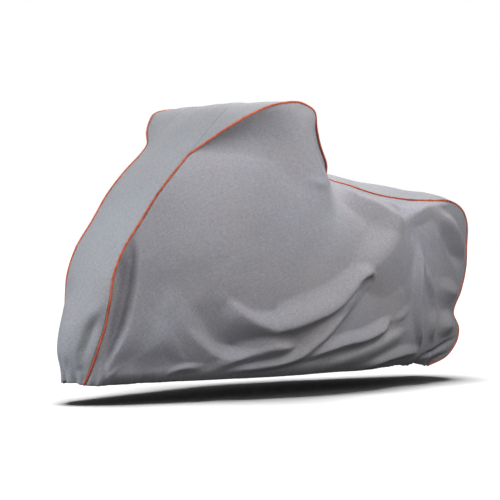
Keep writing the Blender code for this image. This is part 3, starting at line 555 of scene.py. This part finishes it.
def nearestTo(grid, line):
    gap = np.full(grid.shape[:2], np.inf)
    for point in line[::2]:
        gap = np.minimum(gap, ((grid - point) ** 2).sum(axis=-1))
    return np.sqrt(gap)


def outwardOf(grid):
    return unit(np.cross(np.gradient(grid, axis=0), np.gradient(grid, axis=1)))


def hemLift(x, rise):
    wheel = sum(np.exp(-(((x - place) / drape["wheelSpread"]) ** 2)) for place in drape["wheels"])
    pitch = drape["hemPitch"]
    wave = np.sin(2 * np.pi * x / pitch) + 0.5 * np.sin(2 * np.pi * x / (pitch * 1.7) + 1.0)
    lift = drape["hemDepth"] * wave * wheel * np.exp(-rise / drape["hemRise"])
    size, strength = drape["puckerWander"]
    wander = softNoise(x, rise * 0, size, drape["hemSeed"]) * strength
    fineWave = np.sin(2 * np.pi * x / drape["puckerPitch"] + wander)
    fineWave = fineWave * (0.6 + 0.4 * np.sin(2 * np.pi * x / drape["puckerBeat"]))
    share = drape["puckerBetween"] + wheel
    return lift + drape["pucker"] * fineWave * share * np.exp(-rise / drape["puckerRise"])


def sideCloth(side, folds, seed):
    step = np.linspace(0.0, 1.0, cover["rows"])
    step = step * (cover["lowerRows"] + (1 - cover["lowerRows"]) * step)
    grid = plainSide(side)[:, np.unique(np.rint(frontSteps * step).astype(int))]
    x = grid[:, :, 0]
    z = grid[:, :, 2]
    rise = z - z[:, :1]
    broad, middle, small = drape["crumpleSizes"]
    uneven = softNoise(x + 0.4 * z, z, broad, seed) + 0.5 * softNoise(x, z + 0.3 * x, middle, seed + 1)
    uneven = uneven + 0.25 * softNoise(x - 0.5 * z, z, small, seed + 2)
    lift = allFolds(folds, x, z) + drape["crumple"] * uneven + hemLift(x, rise)
    seam = np.minimum(nearestTo(grid, grid[0]), nearestTo(grid, grid[-1]))
    seam = np.minimum(seam, nearestTo(grid, grid[:, -1]))
    lift = lift * np.clip(seam / drape["seamFade"], 0.0, 1.0)
    grid = grid - outwardOf(grid) * lift[:, :, None]  # y is still the half width, so this points in
    curl = np.clip(1 - rise / drape["curlRise"], 0.0, 1.0) ** 2
    grid[:, :, 1] -= drape["curl"] * curl * np.clip(seam / drape["curlFade"], 0.0, 1.0)
    edge = np.concatenate([grid[0, :-1], grid[:-1, -1], grid[-1, ::-1]])
    inner = np.concatenate([grid[1, :-1], grid[1:2, -2], grid[1:-1, -2], grid[-2:-1, -2], grid[-2, -2::-1]])
    moved = drawBack(edge, inner, pipingRoom)
    up = grid.shape[1] - 1
    back = grid.shape[0] - 1
    out = grid.copy()
    out[0, :up] = moved[:up]
    out[:back, -1] = moved[up : up + back]
    out[-1] = moved[up + back :][::-1]
    out[:, :, 1] *= side
    return out


stripDrape = {
    "columns": 44,
    "uneven": 0.0030,
    "unevenSizes": (0.17, 0.08),
    "unevenSeeds": (5, 6),
    "rim": 0.22,  # share of the half width over which folds die out at the seam
    "gatherPitch": 0.032,
    "gatherWander": (0.05, 2.4, 9),  # size, strength and seed
    "gather": (0.0035, 0.07),  # depth and rise
    "hemGather": (0.0050, 0.030),
}


def stripCloth():
    edge = seamLines(-1)[0]
    tangent = unit(np.gradient(edge[:, :2], axis=0))
    out = np.stack([-tangent[:, 1], tangent[:, 0]], axis=1)
    across = np.linspace(-1.0, 1.0, stripDrape["columns"] + 1)
    bow = (1 - across**2)[None, :]
    grid = np.empty((len(edge), len(across), 3))
    rise = edge[:, 3:4] * bow
    grid[:, :, 0] = edge[:, 0:1] + rise * out[:, 0:1] + edge[:, 4:5] * bow
    grid[:, :, 1] = edge[:, 2:3] * across[None, :]
    grid[:, :, 2] = edge[:, 1:2] + rise * out[:, 1:2]
    side = grid[:, :, 1]
    run = runLength(edge[:, [0, 1]])[:, None]
    hemRun = np.minimum(run, run[-1] - run)
    run = run + 0 * side
    sizes = stripDrape["unevenSizes"]
    seeds = stripDrape["unevenSeeds"]
    uneven = softNoise(run, side, sizes[0], seeds[0]) + 0.5 * softNoise(run, side * 1.3, sizes[1], seeds[1])
    rim = np.clip((1 - np.abs(across)) / stripDrape["rim"], 0.0, 1.0)[None, :]
    lift = (stripDrape["uneven"] * uneven + allFolds(stripFolds, run, side)) * rim * rim * (3 - 2 * rim)
    size, strength, seed = stripDrape["gatherWander"]
    wander = softNoise(side, side * 0, size, seed) * strength
    gather = np.sin(2 * np.pi * side / stripDrape["gatherPitch"] + wander)
    depth, reach = stripDrape["gather"]
    gathers = depth * gather * np.exp(-hemRun / reach)
    depth, reach = stripDrape["hemGather"]
    lift = lift + (gathers + depth * gather * np.exp(-((hemRun / reach) ** 2))) * rim
    grid = grid + outwardOf(grid) * lift[:, :, None]
    station = np.arange(len(grid))
    beside = (station > firstNotch) & (station < secondNotch)
    room = np.where(beside, cover["wingGap"], pipingRoom)
    left = drawBack(grid[:, 0], grid[:, 1], room)
    right = drawBack(grid[:, -1], grid[:, -2], room)
    grid[:, 0] = left
    grid[:, -1] = right
    return grid


wingDrape = {
    "columns": 24,
    "tip": 0.3,  # how far a tip stops short of the notch, in the solids' steps
    "crown": 0.004,
    "crownWidth": 0.2,
    "uneven": 0.0020,
    "unevenSizes": (0.12, 0.06),
    "unevenSeeds": (21, 22),
}


def wingCloth(side):
    edge, pipe = seamLines(side)
    tip = wingDrape["tip"] * fine
    rows = np.arange(firstNotch + math.ceil(tip + 0.5), secondNotch - math.floor(tip))
    rows = np.concatenate([[firstNotch + tip], rows, [secondNotch - tip]])
    inner = np.stack([edge[:, 0], edge[:, 2], edge[:, 1]], axis=1)
    inner = smoothLine(np.arange(len(edge)), inner, rows)
    outer = smoothLine(np.arange(len(edge)), pipe, rows)
    innerEdge = drawBack(inner, outer, cover["wingGap"])
    outerEdge = drawBack(outer, inner, pipingRoom)
    across = np.linspace(0.0, 1.0, wingDrape["columns"] + 1)[None, :, None]
    grid = innerEdge[:, None, :] * (1 - across) + outerEdge[:, None, :] * across
    bow = (4 * across * (1 - across))[:, :, 0]
    lift = wingDrape["crown"] * bow * ((outer - inner)[:, 1] / wingDrape["crownWidth"])[:, None]
    sizes = wingDrape["unevenSizes"]
    seeds = wingDrape["unevenSeeds"]
    x = grid[:, :, 0]
    y = grid[:, :, 1] + side
    uneven = softNoise(x, y, sizes[0], seeds[0]) + 0.5 * softNoise(x, y, sizes[1], seeds[1])
    grid[:, :, 2] += lift + wingDrape["uneven"] * bow * uneven
    grid[0] = grid[0].mean(axis=0)
    grid[-1] = grid[-1].mean(axis=0)
    grid[:, :, 1] *= side
    return grid


def gridMesh(name, rows, columns):
    # a flat grid with each vertex's row and column, to be laid on its points
    bm = bmesh.new()
    bm.loops.layers.uv.new("cloth")
    bmesh.ops.create_grid(bm, x_segments=rows - 1, y_segments=columns - 1, size=1.0, calc_uvs=True)
    mesh = bpy.data.meshes.new(name)
    bm.to_mesh(mesh)
    bm.free()
    flat = np.empty(len(mesh.vertices) * 3)
    mesh.vertices.foreach_get("co", flat)
    flat = flat.reshape(-1, 3)
    row = np.rint((flat[:, 0] + 1) / 2 * (rows - 1)).astype(int)
    column = np.rint((flat[:, 1] + 1) / 2 * (columns - 1)).astype(int)
    return mesh, row, column


def layMesh(mesh, points, u, v):
    # the UV map is in metres along the cloth
    mesh.vertices.foreach_set("co", points.ravel())
    corner = np.empty(len(mesh.loops), dtype=int)
    mesh.loops.foreach_get("vertex_index", corner)
    uv = np.stack([u[corner], v[corner]], axis=1)
    mesh.uv_layers["cloth"].data.foreach_set("uv", uv.ravel())


def finishedObject(name, mesh, material, joined, mend):
    bm = bmesh.new()
    bm.from_mesh(mesh)
    bmesh.ops.remove_doubles(bm, verts=bm.verts, dist=joined)
    mend(bm)
    for face in bm.faces:
        face.smooth = True
    bm.to_mesh(mesh)
    bm.free()
    mesh.materials.append(material)
    thing = bpy.data.objects.new(name, mesh)
    bpy.context.scene.collection.objects.link(thing)
    return thing


def clothObject(name, grid, turned, material):
    rows, columns = grid.shape[:2]
    mesh, row, column = gridMesh(name, rows, columns)
    u = np.cumsum(np.linalg.norm(np.diff(grid, axis=0, prepend=grid[:1]), axis=2), axis=0)
    v = np.cumsum(np.linalg.norm(np.diff(grid, axis=1, prepend=grid[:, :1]), axis=2), axis=1)
    layMesh(mesh, grid[row, column] - np.array(cover["restPoint"]), u[row, column], v[row, column])

    def mend(bm):
        if turned:
            bmesh.ops.reverse_faces(bm, faces=bm.faces)

    thing = finishedObject(name, mesh, material, 1e-6, mend)
    wall = thing.modifiers.new("cloth thickness", "SOLIDIFY")
    wall.thickness = cover["cloth"]
    wall.offset = -1.0
    area = sum(face.area for face in mesh.polygons)
    size = round(float(u[-1].max()), 3), round(float(v[:, -1].max()), 3)
    print("cloth", name, "faces", len(mesh.polygons), "area", round(area, 4), "run", *size)
    return thing, area


pipingRing = {
    "sides": 12,
    "uneven": 0.05,
    "unevenSize": 0.05,
    "seed": 31,
}


def pipingObject(name, side, material):
    path = seamLines(side)[1]
    path[:, 1] *= side
    path = path - np.array(cover["restPoint"])
    sides = pipingRing["sides"]
    mesh, row, turn = gridMesh(name, len(path), sides + 1)
    tangent = unit(np.gradient(path, axis=0))
    sideways = unit(np.cross(tangent, np.cross(np.array([0.0, 1.0, 0.0]), tangent)))
    upward = np.cross(tangent, sideways)
    run = runLength(path)
    uneven = softNoise(run, run * 0, pipingRing["unevenSize"], pipingRing["seed"])
    radius = cover["pipingRadius"] * (1.0 + pipingRing["uneven"] * uneven)
    angle = 2 * np.pi * turn / sides
    ring = sideways[row] * np.cos(angle)[:, None] + upward[row] * np.sin(angle)[:, None]
    around = (turn / sides) * 2 * np.pi * cover["pipingRadius"]
    layMesh(mesh, path[row] + ring * radius[row][:, None], run[row], around)

    def mend(bm):
        bmesh.ops.holes_fill(bm, edges=[edge for edge in bm.edges if edge.is_boundary], sides=sides + 1)
        bmesh.ops.recalc_face_normals(bm, faces=bm.faces)

    thing = finishedObject(name, mesh, material, 1e-5, mend)
    print("piping", name, "faces", len(mesh.polygons), "length", round(float(run[-1]), 3))
    return thing


class Link:
    # one output of a shader node, with arithmetic
    def __init__(self, paint, socket):
        self.paint = paint
        self.socket = socket

    def maths(self, operation, *values):
        return self.paint.node("ShaderNodeMath", {"operation": operation}, dict(enumerate(values)))

    def __add__(self, other):
        return self.maths("ADD", self, other)

    def __radd__(self, other):
        return self.maths("ADD", other, self)

    def __sub__(self, other):
        return self.maths("SUBTRACT", self, other)

    def __rsub__(self, other):
        return self.maths("SUBTRACT", other, self)

    def __mul__(self, other):
        return self.maths("MULTIPLY", self, other)

    def __rmul__(self, other):
        return self.maths("MULTIPLY", other, self)

    def sine(self):
        return self.maths("SINE", self)

    def sibling(self, output):
        return Link(self.paint, self.socket.node.outputs[output])


class Paint:
    # the nodes of a material or of the world
    def __init__(self, owner, shader="Principled BSDF"):
        owner.use_nodes = True
        self.owner = owner
        self.tree = owner.node_tree
        self.shader = self.tree.nodes[shader]

    def node(self, kind, settings=None, inputs=None, output=0):
        made = self.tree.nodes.new(kind)
        for key, value in (settings or {}).items():
            if key == "stops":
                ramp = made.color_ramp
                while len(ramp.elements) < len(value):
                    ramp.elements.new(0.5)
                for element, (position, colour) in zip(ramp.elements, value):
                    element.position = position
                    element.color = (*colour, 1.0)
            else:
                setattr(made, key, value)
        for key, value in (inputs or {}).items():
            self.put(made.inputs[key], value)
        return Link(self, made.outputs[output])

    def put(self, socket, value):
        if isinstance(value, Link):
            self.tree.links.new(value.socket, socket)
        elif hasattr(value, "__len__") and len(value) == 3 and socket.type == "RGBA":
            socket.default_value = (*value, 1.0)
        else:
            socket.default_value = value

    def noise(self, vector, scale, detail, rough=0.5):
        inputs = {"Vector": vector, "Scale": scale, "Detail": detail, "Roughness": rough}
        return self.node("ShaderNodeTexNoise", {}, inputs)

    def finish(self, values):
        for key, value in values.items():
            self.put(self.shader.inputs[key], value)
        return self.owner


fabric = {  # the same on every cloth
    "broad": 3.1,
    "tint": 2.2,
    "tintRange": (0.35, 0.65),
    "stops": (0.2, 0.5, 0.8),
    "warp": (70.0, 620.0, 1.0),  # slubs along and across the cloth
    "weft": (560.0, 60.0, 1.0),
    "reliefShares": (0.35, 0.9, 0.6),  # weave, grain, slubs
    "threadHeight": 0.0006,
    "ripple": 26.0,
    "rippleHeight": 0.004,
    "roughDepth": 0.12,
    "sheenRough": 0.45,
    "specular": 0.28,
}


def fabricMaterial(name, look):
    paint = Paint(bpy.data.materials.new(name))
    uv = paint.node("ShaderNodeTexCoord", output=2)
    place = uv.sibling(3)
    grain = paint.noise(place, look["grain"], 3.0, 0.6)
    cloud = paint.noise(place, look["cloud"], 3.0, 0.55)
    broad = paint.noise(place, fabric["broad"], 2.0)
    across = paint.node("ShaderNodeSeparateXYZ", {}, {0: uv})
    turn = 2 * math.pi / look["weave"]
    weave = (across * turn).sine() * (across.sibling(1) * turn).sine()
    stretch = {"operation": "MULTIPLY"}
    warp = paint.noise(paint.node("ShaderNodeVectorMath", stretch, {0: uv, 1: fabric["warp"]}), 1.0, 2.0)
    weft = paint.noise(paint.node("ShaderNodeVectorMath", stretch, {0: uv, 1: fabric["weft"]}), 1.0, 2.0)
    slub = warp + weft
    tone = (grain - 0.5) * look["grainDepth"] + (cloud - 0.5) * look["cloudDepth"]
    tone = tone + (broad - 0.5) * look["broadDepth"] + (slub - 1.0) * look["slub"] + 0.5
    stops = tuple(zip(fabric["stops"], (look["dark"], look["middle"], look["light"])))
    colour = paint.node("ShaderNodeValToRGB", {"stops": stops}, {0: tone})
    low, high = fabric["tintRange"]
    tint = paint.noise(place, fabric["tint"], 3.0, 0.6)
    tint = paint.node("ShaderNodeMapRange", {"clamp": True}, {0: tint, 1: low, 2: high, 3: 0.0, 4: 1.0})
    wash = paint.node("ShaderNodeMix", {"data_type": "RGBA"}, {0: tint, 6: look["cool"], 7: look["warm"]}, 2)
    multiply = {"data_type": "RGBA", "blend_type": "MULTIPLY"}
    colour = paint.node("ShaderNodeMix", multiply, {0: 1.0, 6: colour, 7: wash}, 2)
    shares = fabric["reliefShares"]
    relief = weave * shares[0] + grain * shares[1] + slub * shares[2]
    ripple = paint.noise(place, fabric["ripple"], 3.0)
    bump = None
    for height, strength, distance in (
        (relief, look["relief"], fabric["threadHeight"]),
        (ripple, look["ripple"], fabric["rippleHeight"]),
    ):
        inputs = {"Height": height, "Strength": strength, "Distance": distance}
        if bump:
            inputs["Normal"] = bump
        bump = paint.node("ShaderNodeBump", {}, inputs)
    return paint.finish({
        "Base Color": colour,
        "Roughness": (cloud - 0.5) * fabric["roughDepth"] + look["rough"],
        "Normal": bump,
        "Sheen Weight": look["sheen"],
        "Sheen Roughness": fabric["sheenRough"],
        "Specular IOR Level": fabric["specular"],
    })


stripLook = {
    "dark": (0.225, 0.231, 0.250), "middle": (0.278, 0.285, 0.306), "light": (0.330, 0.337, 0.360),
    "cool": (0.985, 0.995, 1.015), "warm": (1.015, 1.0, 0.985), "slub": 1.2,
    "grain": 520.0, "cloud": 120.0, "grainDepth": 0.55, "cloudDepth": 0.60, "broadDepth": 0.30,
    "weave": 0.0016, "relief": 0.30, "ripple": 0.20, "rough": 0.78, "sheen": 0.10,
}
sideLook = {
    **stripLook,
    "dark": (0.228, 0.226, 0.243), "middle": (0.286, 0.282, 0.304), "light": (0.340, 0.335, 0.362),
    "cool": (0.975, 0.992, 1.030), "warm": (1.025, 1.0, 0.970), "slub": 1.3,
    "ripple": 0.22, "rough": 0.80,
}
pipingLook = {
    "dark": (0.30, 0.050, 0.022), "middle": (0.47, 0.092, 0.042), "light": (0.66, 0.170, 0.075),
    "cool": (0.78, 0.72, 0.74), "warm": (1.10, 1.14, 1.10), "slub": 0.6,
    "grain": 700.0, "cloud": 38.0, "grainDepth": 0.40, "cloudDepth": 0.90, "broadDepth": 0.60,
    "weave": 0.0012, "relief": 0.35, "ripple": 0.15, "rough": 0.55, "sheen": 0.08,
}
stripFabric = fabricMaterial("strip fabric", stripLook)
sideFabric = fabricMaterial("side fabric", sideLook)
pipingFabric = fabricMaterial("piping fabric", pipingLook)
print("materials made")

strip, stripArea = clothObject("centreStrip", stripCloth(), False, stripFabric)
wingLeft, wingLeftArea = clothObject("wingLeft", wingCloth(-1), True, stripFabric)
wingRight, wingRightArea = clothObject("wingRight", wingCloth(1), False, stripFabric)
leftGrid = sideCloth(-1, leftFolds, drape["leftSeed"])
rightGrid = sideCloth(1, rightFolds, drape["rightSeed"])
sideLeft, sideLeftArea = clothObject("sideLeft", leftGrid, False, sideFabric)
sideRight, sideRightArea = clothObject("sideRight", rightGrid, True, sideFabric)
pipingLeft = pipingObject("pipingLeft", -1, pipingFabric)
pipingRight = pipingObject("pipingRight", 1, pipingFabric)

pieces = (
    (strip, "centre_strip", "strip_cloth"),
    (wingLeft, "wing_left", "strip_cloth"),
    (wingRight, "wing_right", "strip_cloth"),
    (sideLeft, "side_left", "side_cloth"),
    (sideRight, "side_right", "side_cloth"),
    (pipingLeft, "piping_left", "piping"),
    (pipingRight, "piping_right", "piping"),
)
for piece, node, slot in pieces:
    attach(piece, "root")
    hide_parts(node)

studio = {
    "floorZ": -1.188,
    "floorSize": 30.0,
    "floor": {"Base Color": (0.90, 0.90, 0.90), "Roughness": 0.9, "Specular IOR Level": 0.1},
    "skyTone": (0.93, 0.96, 1.0),
    "skyStrength": 0.08,
    "groundStrength": 0.05,
    "horizon": (-0.35, 0.45),  # the ground's light turns to the sky's between these
    "aim": (0.1, 0.0, -0.5),  # what the lights face, and how far away they are
    "away": 4.2,
    # name: direction round the object and height in degrees, size, power, tone
    "lights": {
        "frontLight": (168.0, 8.0, 1.4, 78.0, (0.95, 0.975, 1.0)),
        "frontHighLight": (182.0, 18.0, 1.3, 50.0, (0.95, 0.975, 1.0)),
        "sideLowLight": (254.0, 14.0, 1.0, 46.0, (1.0, 0.99, 0.98)),
        "sideHighLight": (258.0, 50.0, 1.0, 44.0, (1.0, 0.99, 0.98)),
        "rearLight": (312.0, 40.0, 1.2, 20.0, (1.0, 0.98, 0.96)),
        "farLight": (75.0, 30.0, 2.4, 40.0, (1.0, 1.0, 1.0)),
    },
    # name: what it faces, how far away, then as above
    "nearLights": {
        "stripLight": ((-0.42, -0.04, -0.24), 1.3, (188.0, 36.0, 0.5, 4.0, (0.97, 0.98, 1.0))),
        "seatLight": ((0.80, 0.0, -0.42), 1.4, (90.0, 84.0, 0.5, 23.0, (1.0, 0.98, 0.97))),
        "tailLight": ((0.90, 0.0, -0.62), 2.0, (250.0, 28.0, 0.55, 15.0, (1.0, 0.99, 0.98))),
    },
    "overhead": (3.9, 28.0, -3.0),  # strength, spread and tilt; it lights the floor alone
}
bm = bmesh.new()
bmesh.ops.create_grid(bm, x_segments=1, y_segments=1, size=studio["floorSize"])
bmesh.ops.translate(bm, verts=bm.verts, vec=(0.0, 0.0, studio["floorZ"]))
floorMesh = bpy.data.meshes.new("studioFloor")
bm.to_mesh(floorMesh)
bm.free()
floorPaint = Paint(bpy.data.materials.new("studio floor"))
floorMesh.materials.append(floorPaint.finish(studio["floor"]))
studioFloor = bpy.data.objects.new("studioFloor", floorMesh)
bpy.context.scene.collection.objects.link(studioFloor)
studioFloor.visible_diffuse = False  # the floor's own bounce would light the hem from below

air = Paint(bpy.data.worlds.new("studio air"), "Background")
bpy.context.scene.world = air.owner
height = air.node("ShaderNodeSeparateXYZ", {}, {0: air.node("ShaderNodeTexCoord")}, 2)
low, high = studio["horizon"]
strength = air.node("ShaderNodeMapRange", {"interpolation_type": "SMOOTHSTEP"}, {
    "Value": height, "From Min": low, "From Max": high,
    "To Min": studio["groundStrength"], "To Max": studio["skyStrength"]})
seen = air.node("ShaderNodeLightPath")  # the backdrop itself is plain white
white = (1.0, 1.0, 1.0)
air.finish({
    "Strength": air.node("ShaderNodeMix", {"data_type": "FLOAT"}, {0: seen, 2: strength, 3: 1.0}),
    "Color": air.node("ShaderNodeMix", {"data_type": "RGBA"}, {0: seen, 6: studio["skyTone"], 7: white}, 2),
})


def hang(name, kind, receivers):
    data = bpy.data.lights.new(name, kind)
    lamp = bpy.data.objects.new(name, data)
    bpy.context.scene.collection.objects.link(lamp)
    lamp.light_linking.receiver_collection = receivers
    return lamp, data


floorOnly = bpy.data.collections.new("floor only")
floorOnly.objects.link(studioFloor)
clothOnly = bpy.data.collections.new("cloth only")
for piece, _, _ in pieces:
    clothOnly.objects.link(piece)
hung = [(name, studio["aim"], studio["away"], values) for name, values in studio["lights"].items()]
hung += [(name, aim, away, values) for name, (aim, away, values) in studio["nearLights"].items()]
for name, aim, away, (turn, rise, size, power, tone) in hung:
    lamp, light = hang(name, "AREA", clothOnly)
    light.shape = "DISK"
    light.size = size
    light.energy = power
    light.color = tone
    aim = Vector(aim)
    turn, rise = math.radians(turn), math.radians(rise)
    towards = Vector((math.cos(turn) * math.cos(rise), math.sin(turn) * math.cos(rise), math.sin(rise)))
    lamp.location = aim + away * towards
    lamp.rotation_euler = (aim - lamp.location).to_track_quat("-Z", "Y").to_euler()
    lamp.visible_camera = False
lamp, light = hang("overheadLight", "SUN", floorOnly)
light.energy = studio["overhead"][0]
light.angle = math.radians(studio["overhead"][1])
lamp.rotation_euler = (math.radians(studio["overhead"][2]), 0.0, 0.0)

view = {
    "lens": 138.24,
    "sensor": 36.0,
    "far": 100.0,
    "place": (-4.982, -6.128, -0.461),
    "down": 1.0145,  # degrees below level
    "heading": -39.69,
}
eye = bpy.data.cameras.new("camera")
eye.lens = view["lens"]
eye.sensor_width = view["sensor"]
eye.clip_end = view["far"]
camera = bpy.data.objects.new("camera", eye)
camera.location = view["place"]
camera.rotation_euler = (math.radians(90 - view["down"]), 0.0, math.radians(view["heading"]))
bpy.context.scene.collection.objects.link(camera)
bpy.context.scene.camera = camera
bpy.context.scene.view_settings.view_transform = "Standard"
bpy.context.scene.view_settings.look = "None"
print("studio set")
